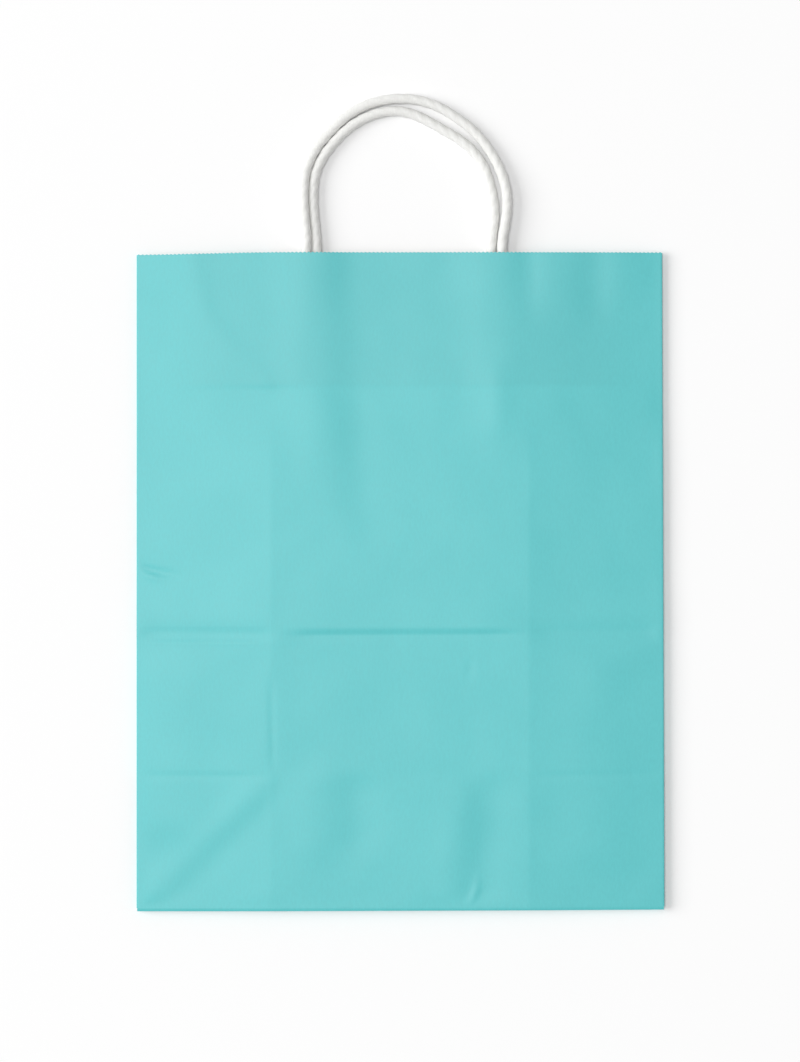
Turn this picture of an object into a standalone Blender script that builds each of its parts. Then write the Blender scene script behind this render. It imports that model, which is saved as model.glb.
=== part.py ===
"""Paper carrier bag with twisted paper handles, folded flat and lying on its back.

Metres, +Z up. The bag lies in the XY plane: X runs across it, +Y points from its
bottom fold to its mouth, and its back rests on Z = 0. The origin is the middle of
the bag's footprint, without the handles.
"""
import math

import bmesh
import bpy
import numpy as np
from mathutils import Vector

MM = 0.001
SAME_PLACE = 1e-6
SAME_SHARE = 1e-4
SHARP_ANGLE = math.radians(50)

# Bag, as it measures folded flat
BAG_WIDTH = 260 * MM
BAG_HEIGHT = 325 * MM
BAG_DEPTH = 132 * MM
PAPER = 0.20 * MM
LEAF_PITCH = 0.45 * MM
FOLD_STEPS = 4

# Pinked edge of the mouth
TOOTH_PITCH = 2.0 * MM
TOOTH_DEPTH = 0.8 * MM
TOOTH_BAND = 3.0 * MM

# How the folded paper lies
DRAPE_LENGTH = 30 * MM
BODY_SWELL = 2.55 * MM
BOTTOM_SWELL = 1.15 * MM
MOUTH_SHOULDER = 1.85 * MM
MOUTH_SWELL = 3.25 * MM
MOUTH_SAG = 2.75 * MM
SHOULDER_WIDTH = 20 * MM
SQUARE_TO_DRAPE = 4 * MM
DRAPE_TO_SWELL = 12 * MM
PATCH_TO_SWELL = 10 * MM
SWELL_ROWS = 4

# Flap glued over the middle of the bottom
FLAP_OVERLAP = 24 * MM
FLAP_BITE = 0.05 * MM

# Twisted cord handles
CORD = 5.0 * MM
CORD_PRESSED = 2.4 * MM
CORD_SPREAD = 6.8 * MM
HANDLE_SHIFT = 2.0 * MM
LEG_PITCH = 91.4 * MM
CORD_GAP = 0.3 * MM
LEG_END_BELOW_MOUTH = 61 * MM
ROUND_OVER = 16 * MM
LEG_ROWS = 4
CORD_SIDES = 2
CORD_STEP = 5.5 * MM
FINE_STEPS = 24

# Paper patches that hold the handle legs
PATCH_WIDTH = 212 * MM
PATCH_HEIGHT = 50 * MM
PATCH_BELOW_MOUTH = 15 * MM
PLY = 0.15 * MM
GLUE_GAP = 0.12 * MM
LEG_ROOM = 0.20 * MM
PLY_FLANK = 2.0 * MM
PLY_MARGIN = 0.60 * MM
PLY_ROOM = 0.50 * MM
RIDGE_HALF_WIDTH = 5.5 * MM
RIDGE_FLANK = 16 * MM

# Lines worked out from the sizes above
SIDE_FOLD_RADIUS = LEAF_PITCH / 2
BOTTOM_FOLD_RADIUS = 3.5 * LEAF_PITCH
SIDE = BAG_WIDTH / 2 - SIDE_FOLD_RADIUS - PAPER / 2
INNER = SIDE - BAG_DEPTH / 2
BOTTOM = BOTTOM_FOLD_RADIUS + PAPER / 2
BOTTOM_MIDDLE = BOTTOM + BAG_DEPTH / 2
BOTTOM_END = BOTTOM + BAG_DEPTH
MOUTH = BAG_HEIGHT - TOOTH_DEPTH
PATCH_TOP = BAG_HEIGHT - PATCH_BELOW_MOUTH
PATCH_BOTTOM = PATCH_TOP - PATCH_HEIGHT
DRAPE_START = BOTTOM_END + SQUARE_TO_DRAPE
DRAPE_END = DRAPE_START + DRAPE_LENGTH
SWELL_TOP = PATCH_BOTTOM - PATCH_TO_SWELL
SWELL_BOTTOM = DRAPE_END + DRAPE_TO_SWELL

# Levels of the paper's leaves, from the table up
BOTTOM_PANEL, GUSSET_END, GUSSET_TUCK, BACK_TUCK, BACK, BACK_LEAF, FRONT_LEAF, FRONT = range(8)
LOWEST_LEAF = PAPER * 1.5

# Heights of the pressed legs, stacked between the back and the front of the bag
PLY_STEP = PLY + GLUE_GAP
BACK_TOP = PAPER
REAR_OUTER_PLY = BACK_TOP + GLUE_GAP + PLY / 2
PLY_TO_LEG = PLY / 2 + LEG_ROOM + CORD_PRESSED / 2
REAR_LEG = REAR_OUTER_PLY + PLY_TO_LEG
REAR_COVER = REAR_LEG + PLY_TO_LEG
FRONT_COVER = REAR_COVER + PLY_STEP
FRONT_LEG = FRONT_COVER + PLY_TO_LEG
FRONT_OUTER_PLY = FRONT_LEG + PLY_TO_LEG
RIDGE = FRONT_OUTER_PLY + PLY / 2 + GLUE_GAP + PAPER / 2

# Lines across the bag: outer folds, shoulders, inner folds and the ridges over the legs
SHOULDER = SIDE - SHOULDER_WIDTH
LEAF_MIDDLE = (SHOULDER + INNER) / 2
LEFT_LEG = HANDLE_SHIFT - LEG_PITCH / 2
RIGHT_LEG = HANDLE_SHIFT + LEG_PITCH / 2
LEG_SPLAY = (CORD + CORD_GAP) / 2
LEAF_LINES = [INNER, LEAF_MIDDLE, SHOULDER, SIDE]
RIDGE_LINES = [
    LEFT_LEG - RIDGE_HALF_WIDTH,
    LEFT_LEG + RIDGE_HALF_WIDTH,
    LEFT_LEG + RIDGE_HALF_WIDTH + RIDGE_FLANK,
    RIGHT_LEG - RIDGE_HALF_WIDTH - RIDGE_FLANK,
    RIGHT_LEG - RIDGE_HALF_WIDTH,
    RIGHT_LEG + RIDGE_HALF_WIDTH,
]
FULL_LINES = sorted([-x for x in LEAF_LINES] + RIDGE_LINES + LEAF_LINES)

# Lines up the bag: the bottom square, the drape behind it, the swell and the mouth
LOWER_STEPS = [SIDE - x for x in reversed(LEAF_LINES)]
LOWER_LINES = [BOTTOM + step for step in LOWER_STEPS]
TUCK_LINES = [BOTTOM_END - step for step in reversed(LOWER_STEPS)]
DRAPE_LINES = [DRAPE_START, (DRAPE_START + DRAPE_END) / 2, DRAPE_END]
SWELL_STEP = (SWELL_TOP - SWELL_BOTTOM) / SWELL_ROWS
SWELL_LINES = [SWELL_BOTTOM + SWELL_STEP * i for i in range(SWELL_ROWS + 1)]
UPPER_LINES = DRAPE_LINES + SWELL_LINES + [MOUTH - TOOTH_BAND, MOUTH]

# Routes of the handles outside the bag, across it and up from its mouth
FRONT_ROUTE_MM = [
    (-46.6, 9.0), (-47.4, 17.0), (-47.9, 27.0), (-46.6, 39.5), (-42.2, 49.8),
    (-34.4, 59.6), (-27.0, 66.6), (-18.8, 71.6), (-10.0, 74.6), (0.0, 75.7),
    (9.5, 74.9), (18.7, 71.8), (27.2, 66.8), (35.6, 60.5), (43.0, 52.0),
    (49.0, 41.5), (52.3, 31.0), (52.8, 22.0), (51.9, 14.0), (50.7, 7.0),
]
REAR_ROUTE_MM = [
    (-41.2, 9.0), (-41.9, 17.0), (-42.4, 27.0), (-41.3, 38.4), (-37.4, 47.2),
    (-30.7, 55.6), (-23.6, 62.2), (-16.2, 66.2), (-8.6, 68.6), (-1.0, 69.2),
    (6.4, 67.6), (13.6, 64.2), (21.4, 59.8), (28.6, 55.6), (35.2, 50.2),
    (40.4, 43.0), (43.6, 34.4), (45.6, 24.6), (46.1, 16.0), (45.3, 8.0),
]
LEVEL_LENGTH = 2 * MM
LOWERED_LENGTH = 38 * MM
CORD_ABOVE_TABLE = 0.1 * MM
CREST_Z = CORD / 2 + CORD_ABOVE_TABLE


def smoothstep(value, start, end):
    """A soft ramp from 0 at start to 1 at end."""
    t = min(max((value - start) / (end - start), 0.0), 1.0)
    return t * t * (3 - 2 * t)


def back_height(y):
    """The back panel lies on the folded bottom, then drapes down to the table."""
    on_stack = LOWEST_LEAF + BACK * LEAF_PITCH
    return on_stack + (PAPER / 2 - on_stack) * smoothstep(y, DRAPE_START, DRAPE_END)


def body_swell(x, y):
    """The springy inner folds hold the front panel up between them."""
    swell = BODY_SWELL + (BOTTOM_SWELL - BODY_SWELL) * (1 - smoothstep(y, DRAPE_START, DRAPE_END))
    return swell * min((SIDE - abs(x)) / (SIDE - INNER), 1.0)


def mouth_profile(x):
    """Front panel's height across the mouth, over the stacked handle legs."""
    edge = PAPER / 2 + 3 * LEAF_PITCH
    swells = [MOUTH_SAG, MOUTH_SWELL, (MOUTH_SHOULDER + MOUTH_SWELL) / 2, MOUTH_SHOULDER, 0]
    plain = edge + float(np.interp(abs(x), [0, *LEAF_LINES], swells))
    off_leg = min(abs(x - LEFT_LEG), abs(x - RIGHT_LEG)) - RIDGE_HALF_WIDTH
    fall = min(max(off_leg / RIDGE_FLANK, 0.0), 1.0)
    return max(plain, RIDGE + (edge + MOUTH_SAG - RIDGE) * fall)


def front_height(x, y):
    """Front panel's height, from the plain body to the swollen mouth."""
    body = back_height(y) + 3 * LEAF_PITCH + body_swell(x, y)
    mouth = smoothstep(y, SWELL_BOTTOM, SWELL_TOP)
    return body + (mouth_profile(x) - body) * mouth


def ply_room(x, y):
    """Extra room that the patch needs between a panel and the gusset leaf beside it."""
    beside_edge = min(max((SIDE - abs(x)) / (SIDE - SHOULDER), 0.0), 1.0)
    return PLY_ROOM * beside_edge * smoothstep(y, SWELL_LINES[-2], SWELL_TOP)


def leaf_heights(x, y):
    """Heights of all eight levels of paper at one place, from the table up."""
    tucked = [LOWEST_LEAF + level * LEAF_PITCH for level in range(BACK)]
    back, front, room = back_height(y), front_height(x, y), LEAF_PITCH + ply_room(x, y)
    return tucked + [back, back + room, front - room, front]


def add_panel(bm, level, across, along, keep=()):
    """A flat leaf of paper on its level, cut back to one side of each diagonal in keep."""
    columns, rows = len(across) - 1, len(along) - 1
    made = bmesh.ops.create_grid(bm, x_segments=columns, y_segments=rows, size=1)["verts"]
    for vert in made:
        column = round((vert.co.x + 1) / 2 * columns)
        row = round((vert.co.y + 1) / 2 * rows)
        vert.co = Vector((across[column], along[row], level * LEAF_PITCH))
    for point, outward in keep:
        geom = list({part for vert in made if vert.is_valid
                     for part in [vert, *vert.link_edges, *vert.link_faces]})
        bmesh.ops.bisect_plane(bm, geom=geom, dist=SAME_PLACE, plane_co=(*point, 0),
                               plane_no=outward, clear_outer=True)


def on_line(vert, level, start, end):
    """Whether a corner of the paper lies on a fold line of its level."""
    flat = Vector((vert.co.x, vert.co.y, 0))
    along = end - start
    share = (flat - start).dot(along) / along.length_squared
    off = (start + along * share - flat).length
    on_level = abs(vert.co.z - level * LEAF_PITCH) < SAME_PLACE
    return on_level and off < SAME_PLACE and -SAME_SHARE < share < 1 + SAME_SHARE


def add_fold(bm, lower, upper, start, end, outward):
    """Turn the paper through half a circle from one level to another along a line."""
    start, end, outward = (Vector((*point, 0)) for point in (start, end, outward))
    edges = [edge for edge in bm.edges if edge.is_boundary
             and all(on_line(vert, lower, start, end) for vert in edge.verts)]
    ends = {vert for edge in edges for vert in edge.verts}
    centre = start + Vector((0, 0, (lower + upper) / 2 * LEAF_PITCH))
    axis = outward.cross(Vector((0, 0, 1))).normalized()
    bmesh.ops.spin(bm, geom=[*edges, *ends], cent=centre, axis=axis, angle=math.pi,
                   steps=FOLD_STEPS, use_duplicate=False)


def add_side(bm, side):
    """Gusset of one side: two long leaves, and the triangles folded into the bottom."""
    across = sorted((x for x in FULL_LINES if side * x >= INNER), key=abs)
    square = LOWER_LINES + TUCK_LINES[1:]
    outer, inner = side * SIDE, side * INNER
    low_corner, high_corner = (outer, BOTTOM), (outer, BOTTOM_END)
    middle, side_middle = (inner, BOTTOM_MIDDLE), (outer, BOTTOM_MIDDLE)
    below, above = (-side, -1, 0), (-side, 1, 0)
    add_panel(bm, GUSSET_END, across, square, [(low_corner, below), (high_corner, above)])
    add_panel(bm, GUSSET_TUCK, across, TUCK_LINES, [(high_corner, above)])
    add_panel(bm, BACK_LEAF, across, TUCK_LINES + UPPER_LINES)
    add_panel(bm, FRONT_LEAF, across, square + UPPER_LINES, [(low_corner, below)])
    mouth, inner_mouth = (outer, MOUTH), (inner, MOUTH)
    add_fold(bm, BOTTOM_PANEL, GUSSET_END, low_corner, high_corner, (side, 0))
    add_fold(bm, GUSSET_TUCK, BACK_TUCK, side_middle, high_corner, (side, 0))
    add_fold(bm, BACK, BACK_LEAF, side_middle, mouth, (side, 0))
    add_fold(bm, FRONT_LEAF, FRONT, low_corner, mouth, (side, 0))
    add_fold(bm, BACK_LEAF, FRONT_LEAF, middle, inner_mouth, (-side, 0))
    add_fold(bm, GUSSET_END, FRONT_LEAF, low_corner, middle, below[:2])
    add_fold(bm, GUSSET_END, GUSSET_TUCK, middle, high_corner, above[:2])
    add_fold(bm, GUSSET_TUCK, BACK_LEAF, middle, side_middle, (0, -1))


def cut_teeth(bm):
    """Pink the mouth: points a tooth apart along every leaf's top edge."""
    edges = [edge for edge in bm.edges if edge.is_boundary
             and all(abs(vert.co.y - MOUTH) < SAME_PLACE for vert in edge.verts)
             and abs(edge.verts[0].co.x - edge.verts[1].co.x) > TOOTH_PITCH]
    for edge in edges:
        ends = sorted(vert.co.x for vert in edge.verts)
        teeth = max(round((ends[1] - ends[0]) / TOOTH_PITCH), 1)
        made = bmesh.ops.subdivide_edges(bm, edges=[edge], cuts=2 * teeth - 1)["geom_inner"]
        for vert in (part for part in made if isinstance(part, bmesh.types.BMVert)):
            step = round((vert.co.x - ends[0]) / (ends[1] - ends[0]) * 2 * teeth)
            vert.co.y += TOOTH_DEPTH * (step % 2)


def fold_bag(bm):
    """The whole folded sheet as one surface, on evenly spaced flat levels."""
    square = LOWER_LINES + TUCK_LINES[1:]
    add_panel(bm, BOTTOM_PANEL, FULL_LINES, square)
    add_panel(bm, BACK_TUCK, FULL_LINES, TUCK_LINES)
    add_panel(bm, BACK, FULL_LINES, TUCK_LINES + UPPER_LINES)
    add_panel(bm, FRONT, FULL_LINES, square + UPPER_LINES)
    left, right = -SIDE, SIDE
    add_fold(bm, BOTTOM_PANEL, FRONT, (left, BOTTOM), (right, BOTTOM), (0, -1))
    add_fold(bm, BOTTOM_PANEL, BACK_TUCK, (left, BOTTOM_END), (right, BOTTOM_END), (0, 1))
    add_fold(bm, BACK_TUCK, BACK, (left, BOTTOM_MIDDLE), (right, BOTTOM_MIDDLE), (0, -1))
    for side in (-1, 1):
        add_side(bm, side)
    bmesh.ops.remove_doubles(bm, verts=bm.verts, dist=SAME_PLACE)
    bmesh.ops.recalc_face_normals(bm, faces=bm.faces)
    top = max(bm.faces, key=lambda face: face.calc_center_median().z)
    if top.normal.z < 0:
        bmesh.ops.reverse_faces(bm, faces=bm.faces)


def settle(bm):
    """Let each level down to the height at which the paper really lies."""
    for vert in bm.verts:
        heights = leaf_heights(vert.co.x, vert.co.y)
        vert.co.z = float(np.interp(vert.co.z / LEAF_PITCH, range(8), heights))


def to_frame(point):
    """From sizes above the bottom fold to the part's own frame."""
    return Vector((point[0], point[1] - BAG_HEIGHT / 2, point[2]))


def finish_mesh(bm, name, collection, material):
    """Turn a bmesh into a named object with its material."""
    for vert in bm.verts:
        vert.co = to_frame(vert.co)
    mesh = bpy.data.meshes.new(name)
    bm.to_mesh(mesh)
    bm.free()
    mesh.materials.append(material)
    obj = bpy.data.objects.new(name, mesh)
    collection.objects.link(obj)
    return obj


def thicken(obj, thickness):
    """Give an open paper surface its thickness, half to each side."""
    solid = obj.modifiers.new("paper thickness", "SOLIDIFY")
    solid.thickness = thickness
    solid.offset = 0
    solid.use_even_offset = True


def make_material(name, colour, roughness):
    """A plain Principled finish."""
    material = bpy.data.materials.new(name)
    material.use_nodes = True
    shader = material.node_tree.nodes["Principled BSDF"]
    shader.inputs["Base Color"].default_value = (*colour, 1)
    shader.inputs["Roughness"].default_value = roughness
    shader.inputs["Metallic"].default_value = 0
    return material


def make_flap(collection):
    """The outer glued flap of the bottom, a trapezoid that the bag rests on."""
    far = BAG_DEPTH / 2 + FLAP_OVERLAP / 2
    half = SIDE - far
    corners = [(-SIDE, BOTTOM), (SIDE, BOTTOM), (half, BOTTOM + far), (-half, BOTTOM + far)]
    curve = bpy.data.curves.new("bottom_flap_outline", "CURVE")
    curve.dimensions = "2D"
    curve.fill_mode = "BOTH"
    curve.extrude = (PAPER + FLAP_BITE) / 2
    spline = curve.splines.new("POLY")
    spline.points.add(len(corners) - 1)
    for point, corner in zip(spline.points, corners):
        point.co = (*to_frame((*corner, 0)), 1)
    spline.use_cyclic_u = True
    outline = bpy.data.objects.new("bottom_flap_outline", curve)
    outline.location.z = (PAPER + FLAP_BITE) / 2
    collection.objects.link(outline)
    return curve_to_mesh(outline, "bottom_flap", collection)


def curve_to_mesh(source, name, collection):
    """Replace a curve object by its mesh, with the caps joined to the sides."""
    bpy.context.view_layer.update()
    graph = bpy.context.evaluated_depsgraph_get()
    mesh = bpy.data.meshes.new_from_object(source.evaluated_get(graph))
    bm = bmesh.new()
    bm.from_mesh(mesh)
    bmesh.ops.remove_doubles(bm, verts=bm.verts, dist=SAME_PLACE)
    bmesh.ops.recalc_face_normals(bm, faces=bm.faces)
    bm.to_mesh(mesh)
    bm.free()
    mesh.name = name
    obj = bpy.data.objects.new(name, mesh)
    obj.matrix_world = source.matrix_world
    collection.objects.link(obj)
    bpy.data.objects.remove(source)
    return obj


def make_bag(collection, helpers, material):
    """The bag's body: one folded and glued sheet."""
    bm = bmesh.new()
    fold_bag(bm)
    settle(bm)
    cut_teeth(bm)
    body = finish_mesh(bm, "bag_body", collection, material)
    thicken(body, PAPER)
    flap = make_flap(helpers)
    flap.hide_render = True
    flap.display_type = "WIRE"
    joined = body.modifiers.new("glued flap", "BOOLEAN")
    joined.operation = "UNION"
    joined.solver = "EXACT"
    joined.object = flap
    return body


def smooth_points(points, step):
    """Points read at even steps from a smooth curve through the given ones."""
    route = np.array([tuple(point) for point in points])
    spans = np.linalg.norm(np.diff(route, axis=0), axis=1) ** 0.5
    knots = np.concatenate([[0], np.cumsum(spans)])
    slopes = np.gradient(route, knots, axis=0)
    fine = []
    for i in range(len(route) - 1):
        width = knots[i + 1] - knots[i]
        for t in np.linspace(0, 1, FINE_STEPS, endpoint=False):
            fine.append((2 * t**3 - 3 * t**2 + 1) * route[i] + (t**3 - 2 * t**2 + t) * width * slopes[i]
                        + (3 * t**2 - 2 * t**3) * route[i + 1] + (t**3 - t**2) * width * slopes[i + 1])
    fine = np.array(fine + [route[-1]])
    walked = np.concatenate([[0], np.cumsum(np.linalg.norm(np.diff(fine, axis=0), axis=1))])
    stops = np.linspace(0, walked[-1], round(walked[-1] / step) + 1)
    return [Vector([np.interp(stop, walked, fine[:, k]) for k in range(3)]) for stop in stops]


def leg_shift(y, splay):
    """How far a leg has moved sideways from its glued end at this height."""
    return splay * min(max((y - PATCH_BOTTOM) / PATCH_HEIGHT, 0.0), 1.0)


def leg_height(y, leg_z, rise):
    """A leg that rounds out above its ply rises from the back or sinks from the front."""
    rounded = smoothstep(y, PATCH_TOP, PATCH_TOP + ROUND_OVER)
    return leg_z + rise * rounded * ((CORD - CORD_PRESSED) / 2 - PLY_STEP)


def handle_route(outside_mm, splay, leg_z, rise):
    """Whole route of a handle, up one leg, round the grip and down the other."""
    leg_end = BAG_HEIGHT - LEG_END_BELOW_MOUTH
    row = ROUND_OVER / LEG_ROWS
    leg_ys = [leg_end, (leg_end + PATCH_TOP) / 2, PATCH_TOP - row]
    leg_ys += [PATCH_TOP + row * i for i in range(LEG_ROWS + 1)]
    legs = [(leg_shift(y, splay), y, leg_height(y, leg_z, rise)) for y in leg_ys]
    left = [(LEFT_LEG - shift, y, z) for shift, y, z in legs]
    right = [(RIGHT_LEG + shift, y, z) for shift, y, z in reversed(legs)]
    mouth_z = left[-1][2]
    outside = []
    for x, above_mouth in outside_mm:
        lowered = smoothstep(above_mouth * MM, LEVEL_LENGTH, LOWERED_LENGTH)
        z = mouth_z + (CREST_Z - mouth_z) * lowered
        outside.append((x * MM, BAG_HEIGHT + above_mouth * MM, z))
    return left + outside + right


def make_handle(name, route, collection, material):
    """A twisted cord handle, its legs pressed flat where the patch holds them."""
    points = smooth_points(route, CORD_STEP)
    curve = bpy.data.curves.new(name, "CURVE")
    curve.dimensions = "3D"
    curve.bevel_depth = CORD / 2
    curve.bevel_resolution = CORD_SIDES
    curve.use_fill_caps = True
    spline = curve.splines.new("POLY")
    spline.points.add(len(points) - 1)
    for spline_point, point in zip(spline.points, points):
        spline_point.co = (*to_frame(point), 1)
    source = bpy.data.objects.new(name + "_route", curve)
    collection.objects.link(source)
    handle = curve_to_mesh(source, name, collection)
    press_legs(handle.data, [to_frame(point) for point in points])
    handle.data.materials.append(material)
    handle.data.shade_smooth()
    handle.data.set_sharp_from_angle(angle=SHARP_ANGLE)
    return handle


def press_legs(mesh, points):
    """Press the legs flat inside the patch, and let them round out above it."""
    start = PATCH_TOP - BAG_HEIGHT / 2
    for vert in mesh.vertices:
        near = min(points, key=lambda point: (point - vert.co).length_squared)
        rounded = smoothstep(near.y, start, start + ROUND_OVER)
        away = vert.co - near
        away.x *= 1 + (CORD_SPREAD / CORD - 1) * (1 - rounded)
        away.z *= 1 + (CORD_PRESSED / CORD - 1) * (1 - rounded)
        vert.co = near + away


def ply_points(y, splay, plain, cover):
    """Section of a patch ply across the bag, with its bumps over or under the legs."""
    start = HANDLE_SHIFT - PATCH_WIDTH / 2
    end = HANDLE_SHIFT + PATCH_WIDTH / 2
    half_top = CORD_SPREAD / 2 + PLY_MARGIN
    bumps = []
    if cover is not None:
        for leg, side in ((LEFT_LEG, -1), (RIGHT_LEG, 1)):
            middle = leg + side * leg_shift(y, splay)
            bumps += [(middle - half_top - PLY_FLANK, None), (middle - half_top, cover),
                      (middle + half_top, cover), (middle + half_top + PLY_FLANK, None)]
    spans = [(bumps[i][0], bumps[i + 3][0]) for i in range(0, len(bumps), 4)]
    lines = [(x, None) for x in [start, *FULL_LINES, end] if start <= x <= end
             and not any(low < x < high for low, high in spans)]
    section = sorted(lines + bumps, key=lambda line: line[0])
    return [(x, y, plain(x) if height is None else height) for x, height in section]


def make_ply(name, splay, plain, cover, collection, material):
    """One ply of a handle patch, lofted from its lower to its upper section."""
    bm = bmesh.new()
    rows = []
    for y in (PATCH_BOTTOM, PATCH_TOP):
        row = [bm.verts.new(point) for point in ply_points(y, splay, plain, cover)]
        rows.append([bm.edges.new(pair) for pair in zip(row, row[1:])])
    bmesh.ops.bridge_loops(bm, edges=rows[0] + rows[1])
    bmesh.ops.recalc_face_normals(bm, faces=bm.faces)
    ply = finish_mesh(bm, name, collection, material)
    thicken(ply, PLY)
    return ply


def make_patches(collection, material):
    """Two plies hold each handle: one glued to the panel, one over the legs."""
    front_drop = PAPER / 2 + GLUE_GAP + PLY / 2
    make_ply("rear_patch_outer", 0, lambda x: REAR_OUTER_PLY, None, collection, material)
    make_ply("rear_patch_inner", -LEG_SPLAY, lambda x: REAR_OUTER_PLY + PLY_STEP, REAR_COVER,
             collection, material)
    make_ply("front_patch_outer", 0, lambda x: mouth_profile(x) - front_drop, None,
             collection, material)
    make_ply("front_patch_inner", LEG_SPLAY, lambda x: mouth_profile(x) - front_drop - PLY_STEP,
             FRONT_COVER, collection, material)


def main():
    for obj in list(bpy.data.objects):
        bpy.data.objects.remove(obj)
    parts = bpy.data.collections.new("paper_carrier_bag")
    helpers = bpy.data.collections.new("helpers")
    bpy.context.scene.collection.children.link(parts)
    bpy.context.scene.collection.children.link(helpers)
    printed_paper = make_material("printed_paper", (0.15, 0.58, 0.60), 0.55)
    white_cord = make_material("twisted_paper_cord", (0.86, 0.86, 0.84), 0.7)
    patch_paper = make_material("patch_paper", (0.84, 0.84, 0.81), 0.75)
    make_bag(parts, helpers, printed_paper)
    front = handle_route(FRONT_ROUTE_MM, LEG_SPLAY, FRONT_LEG, -1)
    rear = handle_route(REAR_ROUTE_MM, -LEG_SPLAY, REAR_LEG, 1)
    make_handle("front_handle", front, parts, white_cord)
    make_handle("rear_handle", rear, parts, white_cord)
    make_patches(parts, patch_paper)


main()
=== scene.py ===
"""Looks of a turquoise paper carrier bag with white twisted handles, folded flat.

The bag lies on its back. Sizes in millimetres are measured across the bag (x) from its
middle, and up the bag (y) from its bottom fold, as on the real sheet.
"""

import functools
import math

import bmesh
import bpy
import numpy as np
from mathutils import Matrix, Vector, noise


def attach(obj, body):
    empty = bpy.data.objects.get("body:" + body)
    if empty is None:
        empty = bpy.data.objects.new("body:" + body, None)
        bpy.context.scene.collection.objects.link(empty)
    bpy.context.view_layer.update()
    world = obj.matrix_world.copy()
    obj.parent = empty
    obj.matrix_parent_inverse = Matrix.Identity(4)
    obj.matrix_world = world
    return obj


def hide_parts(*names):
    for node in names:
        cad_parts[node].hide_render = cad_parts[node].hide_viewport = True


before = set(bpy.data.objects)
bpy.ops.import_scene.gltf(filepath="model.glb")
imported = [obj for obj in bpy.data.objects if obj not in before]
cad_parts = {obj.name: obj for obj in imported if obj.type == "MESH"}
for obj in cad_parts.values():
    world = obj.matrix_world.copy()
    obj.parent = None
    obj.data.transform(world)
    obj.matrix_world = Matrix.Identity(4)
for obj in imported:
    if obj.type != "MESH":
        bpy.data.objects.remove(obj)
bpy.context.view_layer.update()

MM = 0.001
BODY = "root"

# Folded sheet, as its solid is built
BAG_HEIGHT = 325.0
BAG_DEPTH = 132.0
PAPER = 0.20
LEAF_PITCH = 0.45
FOLD_STEPS = 5
FOLD_SHARPNESS = 2.4
SIDE = 129.675
BOTTOM = 1.675
INNER = SIDE - BAG_DEPTH / 2
BOTTOM_MIDDLE = BOTTOM + BAG_DEPTH / 2
BOTTOM_END = BOTTOM + BAG_DEPTH
TOOTH_PITCH = 2.0
TOOTH_DEPTH = 0.6
TOOTH_BAND = 3.0
TOOTH_CUT = 0.5
MOUTH = BAG_HEIGHT - TOOTH_DEPTH
LEAF_LEVELS = 8
BOTTOM_PANEL, GUSSET_END, GUSSET_TUCK, BACK_TUCK, BACK, BACK_LEAF, FRONT_LEAF, FRONT = range(LEAF_LEVELS)
LOWEST_LEAF = PAPER * 1.5

# Handle patch and the legs pressed into it
LEG_LEFT = -43.7
LEG_RIGHT = 47.7
PATCH_TOP = 310.0
PATCH_BOTTOM = 260.0
PATCH_WIDTH = 212.0
ROUND_OVER = 16.0
CORD = 5.0
CORD_PRESSED = 2.4
CORD_SPREAD = 6.8
LEG_END = 264.0
FRONT_LEG_Z = 5.09
REAR_LEG_Z = 1.87
LEG_SPLAY = 2.65
FRONT_EXIT_Z = 4.5
REAR_EXIT_Z = 2.75
FRONT_CREST_Z = 2.7
REAR_CREST_Z = 2.55

# How the paper springs up from the table. A profile is points of x and height
DRAPE_START = BOTTOM_END + 3
DRAPE_END = BOTTOM_END + 34
STACK_MIDDLE = 6.65
BODY_MIDDLE = 6.45
STACK_EDGE_LIFT = 0.75
BODY_EDGE_LIFT = 2.1
RIGHT_EDGE_LIFT = 0.4
SWELL_RELAX = 96.0
SWELL_TOP = 254.0
ROOM_START = 232.0
GUSSET_ROOM = 0.5
GUSSET_ROOM_SIDE = 20.0
MOUTH_OPENS = PATCH_BOTTOM + 22
MOUTH_OPEN = PATCH_TOP + 8
MOUTH_PROFILE = [
    (-129.7, 3.2), (-104, 5.0), (-64, 6.0), (-49.2, 7.2), (-38.2, 7.2), (-25, 6.2), (0, 6.1), (26, 6.3),
    (42.2, 7.2), (53.2, 7.2), (63, 6.3), (72, 6.6), (84, 6.2), (96, 5.4), (108, 5.2), (129.7, 3.4),
]
PATCH_PROFILE = [
    (-129.7, 3.4), (-100, 5.4), (-64, 6.4), (-49.2, 7.1), (-38.2, 7.1), (-22, 6.3), (0, 6.35), (30, 6.7),
    (42.2, 7.1), (53.2, 7.1), (66, 6.5), (100, 5.0), (129.7, 3.4),
]
RIDGE_DRIFT = 0.18
LEFT_FADE = 54.0
RIGHT_FADE = 52.0
SOFTEN = 4.0
SOFTEN_TAPS = 3

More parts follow.
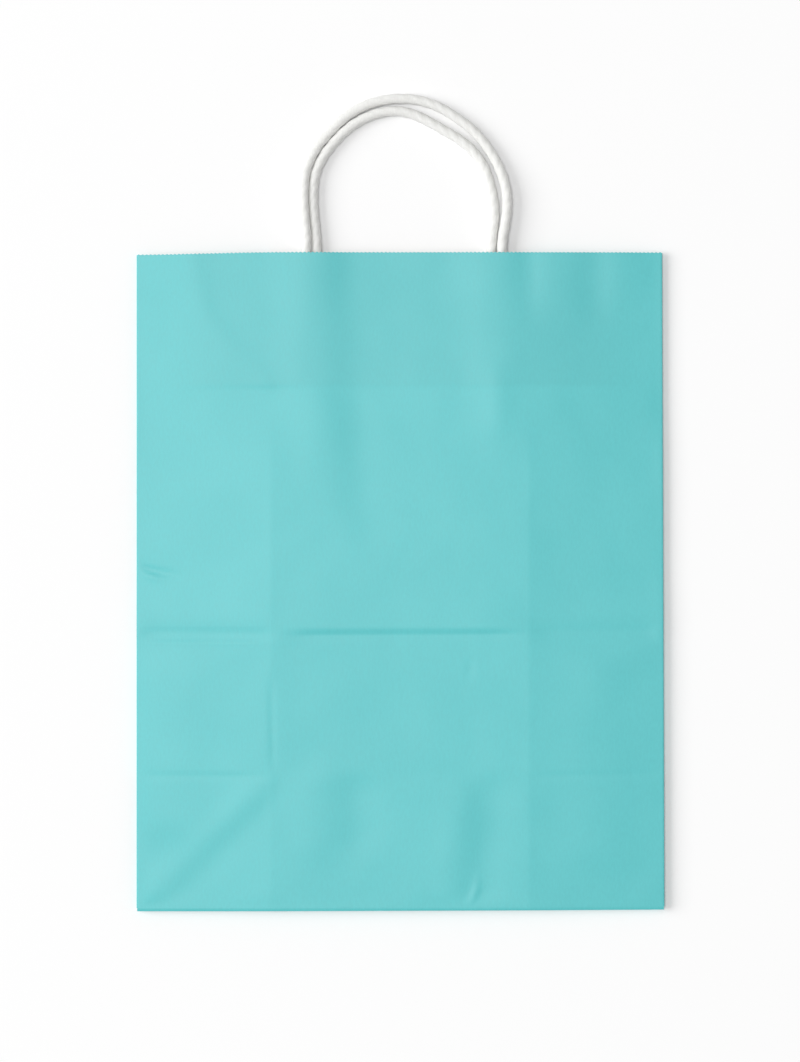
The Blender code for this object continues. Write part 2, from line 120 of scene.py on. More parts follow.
# Handles outside the bag, across it and up from its mouth
FRONT_ROUTE = [
    (-46.2, 9.0), (-47.0, 17.0), (-47.5, 27.0), (-46.5, 39.5), (-42.2, 49.8),
    (-34.4, 59.6), (-27.0, 66.6), (-18.8, 71.6), (-10.0, 74.6), (0.0, 75.7),
    (9.5, 74.9), (18.7, 71.8), (27.2, 66.8), (35.6, 60.5), (43.0, 52.0),
    (49.0, 41.5), (52.3, 31.0), (52.8, 22.0), (51.9, 14.0), (50.7, 7.0),
]
REAR_ROUTE = [
    (-41.5, 9.0), (-42.3, 17.0), (-42.9, 27.0), (-41.7, 38.6), (-37.7, 47.4),
    (-31.0, 55.9), (-23.8, 62.4), (-16.4, 66.5), (-8.7, 69.0), (-1.0, 69.6),
    (6.5, 68.0), (13.8, 64.6), (21.6, 60.2), (28.8, 55.9), (35.5, 50.4),
    (40.9, 43.1), (44.2, 34.4), (46.2, 24.6), (46.5, 16.0), (45.6, 8.0),
]

# The cords' twist, and how they come down from the mouth to the table
LAY_LENGTH = 19.0
STRANDS = 3
GROOVE = 0.30
CORD_RING = 36
CORD_STEP = 0.9
CURVE_STEPS = 24
DROP_START = 22.0
DROP_END = 60.0

# Creases and soft dents pressed into the front: start, end, half width, height
CREASES = {
    "bottom edge, lip": ((-53, 135.8), (60, 136.2), 1.3, -0.15),
    "bottom edge, left end": ((-130, 137.5), (-62, 136.5), 2.6, -0.28),
    "bottom edge, left lip": ((-128, 132.2), (-66, 132.2), 0.9, 0.09),
    "bottom edge, right end": ((64, 137.5), (130, 137.5), 3.2, -0.30),
    "tuck line, left": ((-128, 67.0), (-66, 66.4), 1.2, -0.12),
    "tuck line, right": ((66, 66.4), (128, 67.0), 1.2, -0.12),
    "left corner fold": ((-128, 3), (-66, 65), 4.2, 0.33),
    "left corner hollow": ((-112, 4), (-56, 60), 4.5, -0.16),
    "right corner fold": ((120, 4), (66, 58), 6.0, -0.16),
    "left lower swell": ((-108, 128), (-112, 34), 13.0, 0.55),
    "right lower swell": ((98, 128), (96, 20), 14.0, 0.40),
    "lower dent": ((47, 66), (40, 2), 7.0, -0.42),
    "lower dent, crest": ((30, 64), (23, 4), 5.5, 0.20),
    "lower pinch": ((39.5, 15), (33.6, 1), 1.1, 0.26),
    "inner dent": ((-22, 66), (-18, 28), 7.0, -0.40),
    "inner crest": ((-46, 70), (-42, 24), 8.0, 0.30),
    "left gusset pinch": ((-63.6, 114), (-62.6, 70), 1.1, -0.16),
    "left edge nick": ((-130, 170.5), (-111, 165), 1.1, -0.38),
    "left edge nick, crest": ((-130, 167.5), (-118, 163.5), 1.2, 0.26),
    "short tick": ((32, 121), (37, 118), 0.9, -0.16),
    "left mouth bend, top": ((-105, 327), (-97, 292), 3.6, 0.28),
    "left mouth bend, middle": ((-98, 296), (-83, 273), 3.6, 0.28),
    "left mouth bend, end": ((-85, 276), (-62, 257), 3.6, 0.24),
    "left leg hollow": ((-27, 262), (-12, 172), 6.5, -0.20),
    "left leg crest": ((-43, 258), (-33, 190), 6.5, 0.16),
    "right leg blob": ((47, 270), (49, 236), 3.6, 0.26),
    "right mouth hollow": ((98, 326), (96, 290), 5.0, -0.22),
}
CREASE_REACH = 3.5
CREASE_OVERRUN = 3.0
CREASE_FADE = 12.0
EASED_EDGE = 7.0
PATCH_STEP = 0.12
PATCH_STEP_FADE = 30.0
EDGE_STEP = 0.36
EDGE_STEP_START = BOTTOM_END + 2
EDGE_STEP_TOP = BOTTOM_END + 6.5
EDGE_STEP_END = BOTTOM_END + 60
SKEW_RIGHT = 1.15
SKEW_BOTTOM = 0.42
CORNER_DROP = 1.1
COCKLE_SIZE = 46.0
COCKLE_HEIGHT = 0.16

# Straight down on the bag, the view 525 mm tall at the floor. Metres and millimetres of sensor
CAMERA_HEIGHT = 2.2
VIEW_HEIGHT = 0.525
VIEW_MIDDLE_Y = 0.0248
SENSOR = 36.0
FLOOR_SIZE = 8.0
FLOOR_GLOW = 0.10
WORLD_LIGHT = 0.34

# The mix node's colour inputs and output
MIX_FIRST, MIX_SECOND, MIX_RESULT = 6, 7, 2


def smoothstep(value, start, end):
    """A soft ramp from 0 at start to 1 at end."""
    t = min(max((value - start) / (end - start), 0.0), 1.0)
    return t * t * (3 - 2 * t)


def spaced(*stops):
    """Lines between stops, each stop given with the pitch up to the next one."""
    lines = []
    for (start, pitch), (end, _) in zip(stops, stops[1:]):
        count = max(round((end - start) / pitch), 1)
        lines += [start + (end - start) * i / count for i in range(count)]
    return lines + [stops[-1][0]]


SIDE_STEPS = spaced((0, 0.8), (4, 2.0), (10, 4.3), (61, 1.25), (SIDE - INNER, 1))
LEAF_LINES = [SIDE - step for step in reversed(SIDE_STEPS)]
MIDDLE_LINES = spaced((-INNER, 1.3), (-INNER + 4, 3.6), (29, 1.4), (41, 3.6), (INNER - 4, 1.3),
                      (INNER, 1))[1:-1]
FULL_LINES = [-x for x in reversed(LEAF_LINES)] + MIDDLE_LINES + LEAF_LINES
LOWER_LINES = [BOTTOM + step for step in SIDE_STEPS]
TUCK_LINES = [BOTTOM_END - step for step in reversed(SIDE_STEPS)]
SQUARE_LINES = LOWER_LINES + TUCK_LINES[1:]
UPPER_LINES = spaced((BOTTOM_END, 0.7), (BOTTOM_END + 7, 4.3), (161, 1.4), (172, 4.3),
                     (PATCH_BOTTOM - 4, 1.2), (PATCH_BOTTOM + 2, 4.3), (MOUTH - TOOTH_BAND, 3),
                     (MOUTH, 1))[1:]


def back_height(y):
    """The back lies on the folded bottom, then drapes down to the table."""
    on_stack = LOWEST_LEAF + BACK * LEAF_PITCH
    return on_stack + (PAPER / 2 - on_stack) * smoothstep(y, DRAPE_START, DRAPE_END)


def body_height(x, y):
    """Front panel's height below the mouth: the springy gussets hold it up, most between
    their inner folds, and there it spans the step down from the folded bottom."""
    body_lift = BODY_EDGE_LIFT + RIGHT_EDGE_LIFT * smoothstep(x, 0, SIDE)
    lift = STACK_EDGE_LIFT + (body_lift - STACK_EDGE_LIFT) * smoothstep(y, BOTTOM_END, DRAPE_END)
    edge = back_height(y) + 3 * LEAF_PITCH + lift
    relaxed = smoothstep(y, BOTTOM_END, BOTTOM_END + SWELL_RELAX)
    middle = STACK_MIDDLE + (BODY_MIDDLE - STACK_MIDDLE) * relaxed
    return edge + (middle - edge) * min((SIDE - abs(x)) / (SIDE - INNER), 1.0)


def softened(x, profile):
    """A profile's height at x with its corners softened, as paper bends."""
    xs, zs = zip(*profile)
    taps = range(-SOFTEN_TAPS, SOFTEN_TAPS + 1)
    return float(sum(np.interp(x + SOFTEN * k / SOFTEN_TAPS, xs, zs) for k in taps) / len(taps))


def mouth_height(x, y):
    """Front panel's height over the patch and up to the mouth, with a ridge over each pair of
    legs. Below the patch the ridges drift to the right."""
    if y < MOUTH_OPENS:
        return softened(x - RIDGE_DRIFT * max(PATCH_BOTTOM - y, 0.0), PATCH_PROFILE)
    opened = smoothstep(y, MOUTH_OPENS, MOUTH_OPEN)
    return softened(x, PATCH_PROFILE) * (1 - opened) + softened(x, MOUTH_PROFILE) * opened


def crease_height(x, y, start, end, half_width, height):
    """A pressed line or soft dent that fades at both ends."""
    dx, dy = end[0] - start[0], end[1] - start[1]
    length = math.hypot(dx, dy)
    along = ((x - start[0]) * dx + (y - start[1]) * dy) / length
    off = ((x - start[0]) * dy - (y - start[1]) * dx) / length
    overrun = CREASE_OVERRUN * half_width
    if abs(off) > CREASE_REACH * half_width or not -overrun < along < length + overrun:
        return 0.0
    fade = min(length / 4, CREASE_FADE)
    inside = smoothstep(along, -fade / 2, fade) * smoothstep(length - along, -fade / 2, fade)
    return height * math.exp(-0.5 * (off / half_width) ** 2) * inside


def relief(x, y):
    """Everything pressed into the front panel, faded out at its folded edges: the creases, the
    patch's lower edge, the edge of the folded bottom behind it, and a slight cockle."""
    total = sum(crease_height(x, y, *crease) for crease in CREASES.values())
    patch = smoothstep(y, PATCH_BOTTOM - 3, PATCH_BOTTOM)
    patch -= smoothstep(y, PATCH_BOTTOM - PATCH_STEP_FADE, PATCH_BOTTOM)
    total += PATCH_STEP * patch * smoothstep(x, -112, -98) * (1 - smoothstep(x, 56, 74))
    step = smoothstep(y, EDGE_STEP_START, EDGE_STEP_TOP) - smoothstep(y, EDGE_STEP_TOP + 0.5, EDGE_STEP_END)
    total += EDGE_STEP * step * smoothstep(x, -62, -36) * (1 - smoothstep(x, 40, 66))
    point = Vector((x, y, 0)) / COCKLE_SIZE
    total += COCKLE_HEIGHT * noise.fractal(point, 0.9, 2.1, 3)
    inward = min(SIDE - abs(x), y - BOTTOM)
    return total * smoothstep(inward, -0.5, EASED_EDGE)


@functools.cache
def front_height(x, y):
    """Front panel's height, from the plain body to the swollen mouth."""
    body = body_height(x, y)
    fade = LEFT_FADE + (RIGHT_FADE - LEFT_FADE) * smoothstep(x, -10, 40)
    mouth = smoothstep(y, SWELL_TOP - fade, SWELL_TOP)
    return body + (mouth_height(x, y) - body) * mouth + relief(x, y)


def leaf_heights(x, y):
    """Heights of all the levels of paper at one place, from the table up."""
    tucked = [LOWEST_LEAF + level * LEAF_PITCH for level in range(BACK)]
    back, front = back_height(y), front_height(x, y)
    spread = min((SIDE - abs(x)) / GUSSET_ROOM_SIDE, 1.0) * smoothstep(y, ROOM_START, SWELL_TOP)
    room = LEAF_PITCH + GUSSET_ROOM * spread
    return tucked + [back, back + room, front - room, front]


def add_panel(bm, level, across, along, keep=()):
    """A flat leaf of paper on its level, cut back to one side of each diagonal in keep."""
    columns, rows = len(across) - 1, len(along) - 1
    made = bmesh.ops.create_grid(bm, x_segments=columns, y_segments=rows, size=1)["verts"]
    for vert in made:
        column = round((vert.co.x + 1) / 2 * columns)
        row = round((vert.co.y + 1) / 2 * rows)
        vert.co = Vector((across[column], along[row], level * LEAF_PITCH))
    for point, outward in keep:
        geom = list({part for vert in made if vert.is_valid
                     for part in [vert, *vert.link_edges, *vert.link_faces]})
        bmesh.ops.bisect_plane(bm, geom=geom, dist=1e-4, plane_co=(*point, 0),
                               plane_no=outward, clear_outer=True)


def on_line(vert, level, start, end):
    """Whether a corner of the paper lies on a fold line of its level."""
    flat = Vector((vert.co.x, vert.co.y, 0))
    along = end - start
    share = (flat - start).dot(along) / along.length_squared
    off = (start + along * share - flat).length
    return abs(vert.co.z - level * LEAF_PITCH) < 1e-3 and off < 1e-3 and -1e-4 < share < 1.0001


def add_fold(bm, lower, upper, start, end, outward):
    """Turn the paper through half a circle from one level to another along a line."""
    start, end, outward = (Vector((*point, 0)) for point in (start, end, outward))
    edges = [edge for edge in bm.edges if edge.is_boundary
             and all(on_line(vert, lower, start, end) for vert in edge.verts)]
    ends = {vert for edge in edges for vert in edge.verts}
    centre = start + Vector((0, 0, (lower + upper) / 2 * LEAF_PITCH))
    axis = outward.cross(Vector((0, 0, 1))).normalized()
    bmesh.ops.spin(bm, geom=[*edges, *ends], cent=centre, axis=axis, angle=math.pi,
                   steps=FOLD_STEPS, use_duplicate=False)


def add_side(bm, side):
    """Gusset of one side: two long leaves, and the triangles folded into the bottom."""
    across = [side * x for x in LEAF_LINES]
    outer, inner = side * SIDE, side * INNER
    low_corner, high_corner = (outer, BOTTOM), (outer, BOTTOM_END)
    middle, side_middle = (inner, BOTTOM_MIDDLE), (outer, BOTTOM_MIDDLE)
    below, above = (-side, -1, 0), (-side, 1, 0)
    add_panel(bm, GUSSET_END, across, SQUARE_LINES, [(low_corner, below), (high_corner, above)])
    add_panel(bm, GUSSET_TUCK, across, TUCK_LINES, [(high_corner, above)])
    add_panel(bm, BACK_LEAF, across, TUCK_LINES + UPPER_LINES)
    add_panel(bm, FRONT_LEAF, across, SQUARE_LINES + UPPER_LINES, [(low_corner, below)])
    mouth, inner_mouth = (outer, MOUTH), (inner, MOUTH)
    add_fold(bm, BOTTOM_PANEL, GUSSET_END, low_corner, high_corner, (side, 0))
    add_fold(bm, GUSSET_TUCK, BACK_TUCK, side_middle, high_corner, (side, 0))
    add_fold(bm, BACK, BACK_LEAF, side_middle, mouth, (side, 0))
    add_fold(bm, FRONT_LEAF, FRONT, low_corner, mouth, (side, 0))
    add_fold(bm, BACK_LEAF, FRONT_LEAF, middle, inner_mouth, (-side, 0))
    add_fold(bm, GUSSET_END, FRONT_LEAF, low_corner, middle, below[:2])
    add_fold(bm, GUSSET_END, GUSSET_TUCK, middle, high_corner, above[:2])
    add_fold(bm, GUSSET_TUCK, BACK_LEAF, middle, side_middle, (0, -1))


def fold_sheet(bm):
    """The whole folded sheet as one surface, on evenly spaced flat levels."""
    add_panel(bm, BOTTOM_PANEL, FULL_LINES, SQUARE_LINES)
    add_panel(bm, BACK_TUCK, FULL_LINES, TUCK_LINES)
    add_panel(bm, BACK, FULL_LINES, TUCK_LINES + UPPER_LINES)
    add_panel(bm, FRONT, FULL_LINES, SQUARE_LINES + UPPER_LINES)
    left, right = -SIDE, SIDE
    add_fold(bm, BOTTOM_PANEL, FRONT, (left, BOTTOM), (right, BOTTOM), (0, -1))
    add_fold(bm, BOTTOM_PANEL, BACK_TUCK, (left, BOTTOM_END), (right, BOTTOM_END), (0, 1))
    add_fold(bm, BACK_TUCK, BACK, (left, BOTTOM_MIDDLE), (right, BOTTOM_MIDDLE), (0, -1))
    for side in (-1, 1):
        add_side(bm, side)
    bmesh.ops.remove_doubles(bm, verts=bm.verts, dist=1e-3)
    bmesh.ops.recalc_face_normals(bm, faces=bm.faces)
    top = max(bm.faces, key=lambda face: face.calc_center_median().z)
    if top.normal.z < 0:
        bmesh.ops.reverse_faces(bm, faces=bm.faces)


def at_mouth(edge):
    """Whether an edge lies along the sheet's top edge."""
    return edge.is_boundary and all(abs(vert.co.y - MOUTH) < 1e-4 for vert in edge.verts)


def cut_teeth(bm):
    """Pink the mouth: points a tooth apart along every leaf's top edge."""
    by_cuts = {}
    for edge in bm.edges:
        if at_mouth(edge):
            by_cuts.setdefault(round(edge.calc_length() / TOOTH_CUT) - 1, []).append(edge)
    for cuts in sorted(cuts for cuts in by_cuts if cuts > 0):
        bmesh.ops.subdivide_edges(bm, edges=by_cuts[cuts], cuts=cuts)
    for vert in {vert for edge in bm.edges if at_mouth(edge) for vert in edge.verts}:
        phase = vert.co.x / TOOTH_PITCH % 1
        vert.co.y += TOOTH_DEPTH * (1 - abs(2 * phase - 1))


def settle(bm):
    """Let each level down to the height at which the paper really lies. The bottom fold is
    pressed sharp along its upper side, and the sheet is a hair out of square."""
    for vert in bm.verts:
        x, y, level = vert.co.x, vert.co.y, vert.co.z / LEAF_PITCH
        if y < BOTTOM:
            share = min(max(level / FRONT, 0.0), 1.0)
            level = FRONT * (1 - (1 - share) ** FOLD_SHARPNESS)
        heights = leaf_heights(x, y)
        along = y / BAG_HEIGHT
        vert.co.z = float(np.interp(level, range(LEAF_LEVELS), heights))
        vert.co.x += SKEW_RIGHT * (0.45 - along) * smoothstep(x, 60, SIDE)
        vert.co.y += SKEW_BOTTOM * (x / SIDE) * (1 - along)
        vert.co.y -= CORNER_DROP * along ** 3 * smoothstep(-x, 60, SIDE)


def place(point):
    """From millimetres above the bottom fold to metres in the frame."""
    return Vector((point[0], point[1] - BAG_HEIGHT / 2, point[2])) * MM


def object_from(bm, name, materials):
    """A named object with its materials, its place in its mesh."""
    for vert in bm.verts:
        vert.co = place(vert.co)
    mesh = bpy.data.meshes.new(name)
    bm.to_mesh(mesh)
    bm.free()
    for material in materials:
        mesh.materials.append(material)
    obj = bpy.data.objects.new(name, mesh)
    bpy.context.scene.collection.objects.link(obj)
    return obj


def harden(obj, angle):
    """Smooth shading, sharp where faces meet at more than the angle."""
    obj.data.shade_smooth()
    obj.data.set_sharp_from_angle(angle=math.radians(angle))


def apply_modifiers(obj):
    """Keep what the modifiers made, as the object's own mesh."""
    graph = bpy.context.evaluated_depsgraph_get()
    mesh = bpy.data.meshes.new_from_object(obj.evaluated_get(graph))
    mesh.name = obj.name
    obj.modifiers.clear()
    obj.data = mesh


def make_bag(printed, plain, cut):
    """The folded sheet: printed outside, plain paper inside, bare fibre at its cut edge."""
    bm = bmesh.new()
    fold_sheet(bm)
    cut_teeth(bm)
    settle(bm)
    bag = object_from(bm, "folded_paper_bag", [printed, plain, cut])
    solid = bag.modifiers.new("paper thickness", "SOLIDIFY")
    solid.thickness = PAPER * MM
    solid.offset = 0
    solid.use_even_offset = True
    solid.material_offset = 1
    solid.material_offset_rim = 2
    apply_modifiers(bag)
    harden(bag, 50)
    return bag


def smooth_points(points, step):
    """Points read at even steps from a smooth curve through the given ones."""
    route = np.array([tuple(point) for point in points])
    knots = np.concatenate([[0], np.cumsum(np.linalg.norm(np.diff(route, axis=0), axis=1) ** 0.5)])
    slopes = np.gradient(route, knots, axis=0)
    fine = []
    for i in range(len(route) - 1):
        width = knots[i + 1] - knots[i]
        for t in np.linspace(0, 1, CURVE_STEPS, endpoint=False):
            fine.append((2 * t**3 - 3 * t**2 + 1) * route[i] + (t**3 - 2 * t**2 + t) * width * slopes[i]
                        + (3 * t**2 - 2 * t**3) * route[i + 1] + (t**3 - t**2) * width * slopes[i + 1])
    fine = np.array(fine + [route[-1]])
    walked = np.concatenate([[0], np.cumsum(np.linalg.norm(np.diff(fine, axis=0), axis=1))])
    stops = np.linspace(0, walked[-1], round(walked[-1] / step) + 1)
    return [Vector([np.interp(stop, walked, fine[:, k]) for k in range(3)]) for stop in stops]


def handle_route(outside, splay, leg_z, exit_z, crest_z):
    """Whole route of a handle, up one leg, round the grip and down the other."""
    leg_ys = [LEG_END, (LEG_END + PATCH_TOP) / 2] + [PATCH_TOP + ROUND_OVER * i / 4 for i in range(-1, 5)]
    left, right = [], []
    for y in leg_ys:
        shift = splay * min(max((y - PATCH_BOTTOM) / (PATCH_TOP - PATCH_BOTTOM), 0.0), 1.0)
        z = leg_z + (exit_z - leg_z) * smoothstep(y, PATCH_TOP, PATCH_TOP + ROUND_OVER)
        left.append((LEG_LEFT - shift, y, z))
        right.insert(0, (LEG_RIGHT + shift, y, z))
    grip = [(x, BAG_HEIGHT + above, exit_z + (crest_z - exit_z) * smoothstep(above, DROP_START, DROP_END))
            for x, above in outside]
    return left + grip + right


def strand_radius(turn, walked):
    """Radius of the twisted cord: strands side by side, with small creases in the paper."""
    lobe = abs(math.sin(turn * STRANDS / 2))
    grain = noise.noise(Vector((math.cos(turn) * 1.5, math.sin(turn) * 1.5, walked / 9)))
    creases = noise.noise(Vector((math.cos(turn) * 7, math.sin(turn) * 7, walked / 16)))
    return CORD / 2 - GROOVE * (1 - lobe) ** 1.6 + 0.05 * grain + 0.05 * creases


def next_ring(bm, ring, edges):
    """Extrude the cord's open end once, and give the new ring in the same order."""
    made = bmesh.ops.extrude_edge_only(bm, edges=edges)["geom"]
    fresh = {part for part in made if isinstance(part, bmesh.types.BMVert)}
    edges = [part for part in made if isinstance(part, bmesh.types.BMEdge)
             and all(vert in fresh for vert in part.verts)]
    above = {edge.other_vert(vert): vert for vert in fresh for edge in vert.link_edges
             if edge.other_vert(vert) not in fresh}
    return [above[vert] for vert in ring], edges


def make_handle(name, route, material):
    """A cord of twisted paper strands, its legs pressed flat where the patch holds them."""
    points = smooth_points(route, CORD_STEP)
    bm = bmesh.new()
    ring = list(bmesh.ops.create_circle(bm, segments=CORD_RING, radius=1)["verts"])
    edges = list(bm.edges)
    for i, point in enumerate(points):
        if i:
            ring, edges = next_ring(bm, ring, edges)
        ahead = (points[min(i + 1, len(points) - 1)] - points[max(i - 1, 0)]).normalized()
        side = Vector((0, 0, 1)).cross(ahead).normalized()
        up = ahead.cross(side)
        walked = i * CORD_STEP
        rounded = smoothstep(point.y, PATCH_TOP, PATCH_TOP + ROUND_OVER)
        for k, vert in enumerate(ring):
            angle = 2 * math.pi * k / CORD_RING
            radius = strand_radius(angle - 2 * math.pi * walked / LAY_LENGTH, walked)
            away = (side * math.cos(angle) + up * math.sin(angle)) * radius
            away.x *= 1 + (CORD_SPREAD / CORD - 1) * (1 - rounded)
            away.z *= 1 + (CORD_PRESSED / CORD - 1) * (1 - rounded)
            vert.co = point + away
    bmesh.ops.holes_fill(bm, edges=[edge for edge in bm.edges if edge.is_boundary], sides=CORD_RING)
    bmesh.ops.recalc_face_normals(bm, faces=bm.faces)
    handle = object_from(bm, name, [material])
    harden(handle, 60)
    return handle, [place(point) for point in points]


def linear(hex_colour):
    """An sRGB hex colour as the linear values that a shader takes."""
    parts = [int(hex_colour[i:i + 2], 16) / 255 for i in (1, 3, 5)]
    return (*[p / 12.92 if p <= 0.04045 else ((p + 0.055) / 1.055) ** 2.4 for p in parts], 1)


def add_node(tree, kind, settings=None, links=None):
    """One node with its settings and values, and the sockets that feed it."""
    node = tree.nodes.new(kind)
    for key, value in (settings or {}).items():
        if hasattr(node, key):
            setattr(node, key, value)
        else:
            node.inputs[key].default_value = value
    for key, source in (links or {}).items():
        tree.links.new(source, node.inputs[key])
    return node


def new_material(name):
    """An empty material with its tree and its output."""
    material = bpy.data.materials.new(name)
    material.use_nodes = True
    tree = material.node_tree
    tree.nodes.clear()
    output = add_node(tree, "ShaderNodeOutputMaterial")
    return material, tree, output


def multiply(tree, first, second):
    """One colour multiplied by another."""
    mix = add_node(tree, "ShaderNodeMix", {"data_type": "RGBA", "blend_type": "MULTIPLY"},
                   {MIX_FIRST: first, MIX_SECOND: second})
    mix.inputs["Factor"].default_value = 1.0
    return mix.outputs[MIX_RESULT]


def calculate(tree, operation, first, second=0.0):
    """One sum on two values, each a socket or a number."""
    node = add_node(tree, "ShaderNodeMath", {"operation": operation})
    for socket, value in zip(node.inputs, (first, second)):
        if isinstance(value, bpy.types.NodeSocket):
            tree.links.new(value, socket)
        else:
            socket.default_value = value
    return node.outputs[0]


def ramp(tree, source, low_at, low, high_at, high):
    """A colour between two hex colours, by a pattern's value."""
    node = add_node(tree, "ShaderNodeValToRGB", links={"Fac": source})
    for element, position, colour in zip(node.color_ramp.elements, (low_at, high_at), (low, high)):
        element.position = position
        element.color = linear(colour)
    return node.outputs["Color"]


def painted_shade_mask(tree, place_node):
    """1 where the handle patch lies behind the front, for a painted shade that darkens the front there,
    fading out at its edges.
    """
    split = add_node(tree, "ShaderNodeSeparateXYZ", links={"Vector": place_node.outputs["Object"]})
    low_y, fade = (PATCH_BOTTOM - BAG_HEIGHT / 2) * MM, 0.002
    above = add_node(tree, "ShaderNodeMapRange", {"From Min": low_y - fade, "From Max": low_y},
                     {"Value": split.outputs["Y"]})
    centre = calculate(tree, "SUBTRACT", split.outputs["X"], (LEG_LEFT + LEG_RIGHT) / 2 * MM)
    half, side_fade = PATCH_WIDTH / 2 * MM, 0.010
    beside = add_node(tree, "ShaderNodeMapRange",
                      {"From Min": half - side_fade, "From Max": half + side_fade,
                       "To Min": 1.0, "To Max": 0.0},
                      {"Value": calculate(tree, "ABSOLUTE", centre)})
    return calculate(tree, "MULTIPLY", above.outputs["Result"], beside.outputs["Result"])


def printed_paper():
    """Machine-glazed white kraft, flexo printed all over: an even, chalky turquoise with a
    low broad sheen, a little uneven where the ink lies on the fibres."""
    material, tree, output = new_material("flexo_printed_kraft_paper")
    place_node = add_node(tree, "ShaderNodeTexCoord")
    cloud = add_node(tree, "ShaderNodeTexNoise", {"Scale": 1000 / 34, "Detail": 3.0, "Roughness": 0.5},
                     {"Vector": place_node.outputs["Object"]})
    fibre_map = add_node(tree, "ShaderNodeMapping", {"Scale": (1, 0.35, 1)},
                         {"Vector": place_node.outputs["Object"]})
    fibre = add_node(tree, "ShaderNodeTexNoise", {"Scale": 1000 / 0.9, "Detail": 4.0, "Roughness": 0.6},
                     {"Vector": fibre_map.outputs["Vector"]})
    ink = ramp(tree, cloud.outputs["Fac"], 0.3, "#5BC6C9", 0.7, "#5FC9CC")
    thin = ramp(tree, fibre.outputs["Fac"], 0.35, "#FAFAFA", 0.65, "#FFFFFF")
    # Painted shade: the print is multiplied a little darker over the handle patch's zone, standing in for
    # shading there.
    painted_patch_shade = add_node(tree, "ShaderNodeMix", {"data_type": "RGBA"}, {"Factor": painted_shade_mask(tree, place_node)})
    painted_patch_shade.inputs[MIX_FIRST].default_value = linear("#FFFFFF")
    painted_patch_shade.inputs[MIX_SECOND].default_value = linear("#FBFBFB")
    colour = multiply(tree, multiply(tree, ink, thin), painted_patch_shade.outputs[MIX_RESULT])
    gloss = add_node(tree, "ShaderNodeMapRange", {"To Min": 0.38, "To Max": 0.46},
                     {"Value": fibre.outputs["Fac"]})
    bump = add_node(tree, "ShaderNodeBump", {"Strength": 0.1, "Distance": 0.0001},
                    {"Height": fibre.outputs["Fac"]})
    shader = add_node(tree, "ShaderNodeBsdfPrincipled", {"IOR": 1.5},
                      {"Base Color": colour, "Roughness": gloss.outputs["Result"],
                       "Normal": bump.outputs["Normal"]})
    tree.links.new(shader.outputs["BSDF"], output.inputs["Surface"])
    return material


def plain_paper(name, low, high, bump_strength, soft=0.0):
    """Bleached kraft without print: a warm white with faint fibres and a dry, matt face, and
    where it is soft the light spreads a little inside it."""
    material, tree, output = new_material(name)
    place_node = add_node(tree, "ShaderNodeTexCoord")
    fibre_map = add_node(tree, "ShaderNodeMapping", {"Scale": (1, 0.3, 1)},
                         {"Vector": place_node.outputs["Object"]})
    fibre = add_node(tree, "ShaderNodeTexNoise", {"Scale": 1000 / 0.8, "Detail": 5.0, "Roughness": 0.62},
                     {"Vector": fibre_map.outputs["Vector"]})
    tone = ramp(tree, fibre.outputs["Fac"], 0.3, low, 0.7, high)
    bump = add_node(tree, "ShaderNodeBump", {"Strength": bump_strength, "Distance": 0.00015},
                    {"Height": fibre.outputs["Fac"]})
    shader = add_node(tree, "ShaderNodeBsdfPrincipled",
                      {"IOR": 1.45, "Roughness": 0.72, "Subsurface Weight": soft,
                       "Subsurface Radius": (4 * MM, 4 * MM, 4 * MM), "Subsurface Scale": 1.0},
                      {"Base Color": tone, "Normal": bump.outputs["Normal"]})
    tree.links.new(shader.outputs["BSDF"], output.inputs["Surface"])
    return material


def floor_material():
    """Pale matt studio floor that keeps the bag's shadow and reads white where nothing shades it."""
    material, tree, output = new_material("matt_white_floor")
    diffuse = add_node(tree, "ShaderNodeBsdfDiffuse", {"Color": linear("#F2F2F2")})
    seen = add_node(tree, "ShaderNodeLightPath")
    direct = calculate(tree, "MAXIMUM", seen.outputs["Is Camera Ray"], seen.outputs["Is Glossy Ray"])
    direct = calculate(tree, "MAXIMUM", direct, seen.outputs["Is Transmission Ray"])
    glow = add_node(tree, "ShaderNodeEmission", {"Color": (1, 1, 1, 1)},
                    {"Strength": calculate(tree, "MULTIPLY", direct, FLOOR_GLOW)})
    both = add_node(tree, "ShaderNodeAddShader", links={0: diffuse.outputs[0], 1: glow.outputs[0]})
    tree.links.new(both.outputs[0], output.inputs["Surface"])
    return material


def make_world():
    """Even white light from all round, and a white sky behind the floor."""
    world = bpy.data.worlds.new("studio")
    bpy.context.scene.world = world
    world.use_nodes = True
    tree = world.node_tree
    tree.nodes.clear()
    output = add_node(tree, "ShaderNodeOutputWorld")
    seen = add_node(tree, "ShaderNodeLightPath")
    direct = calculate(tree, "MAXIMUM", seen.outputs["Is Camera Ray"], seen.outputs["Is Transmission Ray"])
    level = add_node(tree, "ShaderNodeMapRange", {"To Min": WORLD_LIGHT, "To Max": 1.0}, {"Value": direct})
    sky = add_node(tree, "ShaderNodeBackground", {"Color": (1, 1, 1, 1)},
                   {"Strength": level.outputs["Result"]})
    tree.links.new(sky.outputs[0], output.inputs["Surface"])


def add_lamp(name, location, size, level):
    """A square softbox aimed at the bag. Its level is the light that it lays on the floor there."""
    lamp = bpy.data.lights.new(name, "AREA")
    lamp.shape = "SQUARE"
    lamp.size = size
    aim = Vector((0, 0, 0)) - Vector(location)
    rise = location[2] / aim.length
    lamp.energy = level * math.pi ** 2 * aim.length_squared / rise
    obj = bpy.data.objects.new(name, lamp)
    obj.location = location
    obj.rotation_euler = aim.to_track_quat("-Z", "Y").to_euler()
    bpy.context.scene.collection.objects.link(obj)


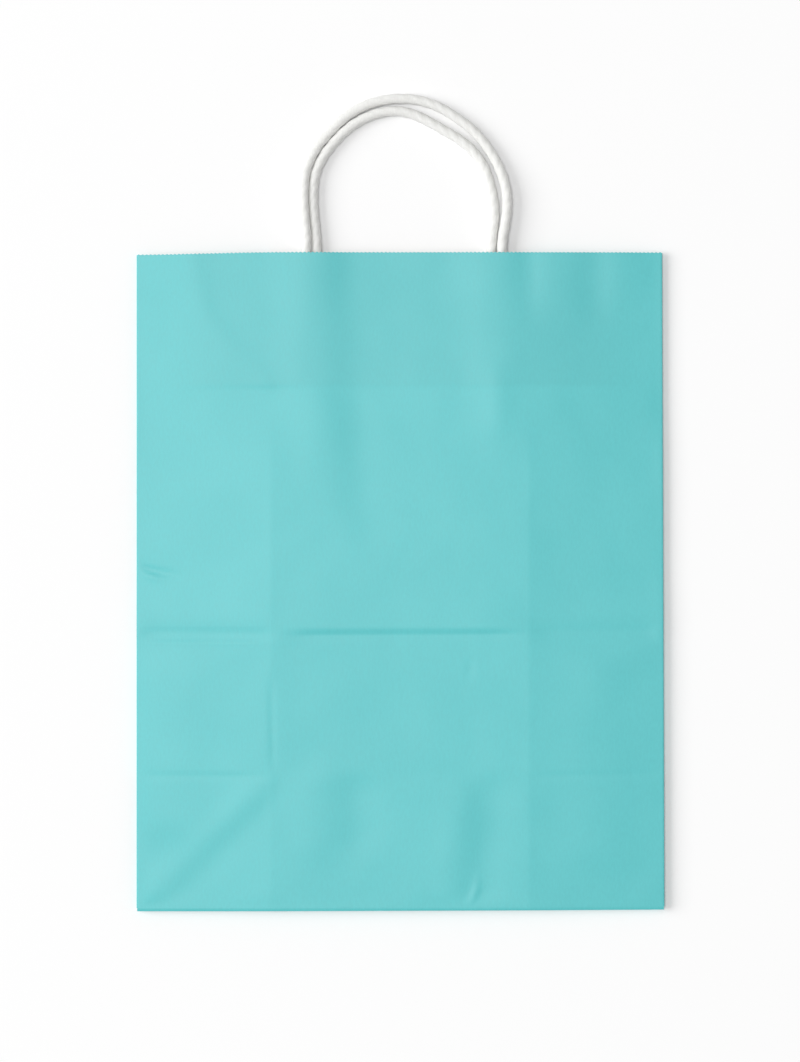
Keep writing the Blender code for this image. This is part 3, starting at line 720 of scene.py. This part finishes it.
def make_floor():
    """A wide plain floor just under the bag."""
    bm = bmesh.new()
    bmesh.ops.create_grid(bm, x_segments=1, y_segments=1, size=FLOOR_SIZE / 2)
    mesh = bpy.data.meshes.new("floor")
    bm.to_mesh(mesh)
    bm.free()
    mesh.materials.append(floor_material())
    floor = bpy.data.objects.new("floor", mesh)
    bpy.context.scene.collection.objects.link(floor)


def make_camera():
    """A long lens straight above the bag."""
    data = bpy.data.cameras.new("camera")
    data.sensor_fit = "VERTICAL"
    data.sensor_height = SENSOR
    data.lens = SENSOR * CAMERA_HEIGHT / VIEW_HEIGHT
    data.clip_end = 50
    camera = bpy.data.objects.new("camera", data)
    camera.location = (0, VIEW_MIDDLE_Y, CAMERA_HEIGHT)
    bpy.context.scene.collection.objects.link(camera)
    bpy.context.scene.camera = camera


def declare_handle(handle, node):
    """The cord from one pressed end to the other: its part in model.glb hidden, the cord hung on the bag's
    body.
    """
    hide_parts(node)
    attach(handle, BODY)


make_camera()
make_world()
make_floor()
add_lamp("left_softbox", (-12.30, 0.90, 8.20), 9.6, 0.40)
add_lamp("overhead_softbox", (-2.30, 0.70, 14.80), 3.2, 0.31)
bpy.context.scene.view_settings.view_transform = "Standard"

printed = printed_paper()
inside = plain_paper("bleached_kraft_paper", "#DEDED9", "#EDEDEA", 0.25)
cut_edge = plain_paper("bleached_kraft_cut_edge", "#CFE3E2", "#E6F0EF", 0.1)
cord_paper = plain_paper("twisted_bleached_kraft", "#E6E6E3", "#F0F0ED", 0.35, 0.6)

bag = make_bag(printed, inside, cut_edge)
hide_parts("bag_body")
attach(bag, BODY)

front, front_path = make_handle("front_twisted_handle", handle_route(
    FRONT_ROUTE, LEG_SPLAY, FRONT_LEG_Z, FRONT_EXIT_Z, FRONT_CREST_Z), cord_paper)
rear, rear_path = make_handle("rear_twisted_handle", handle_route(
    REAR_ROUTE, -LEG_SPLAY, REAR_LEG_Z, REAR_EXIT_Z, REAR_CREST_Z), cord_paper)
declare_handle(front, "front_handle")
declare_handle(rear, "rear_handle")

for name in ("front_patch_inner", "front_patch_outer", "rear_patch_inner", "rear_patch_outer"):
    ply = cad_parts[name]
    ply.data.materials.clear()
    ply.data.materials.append(inside)
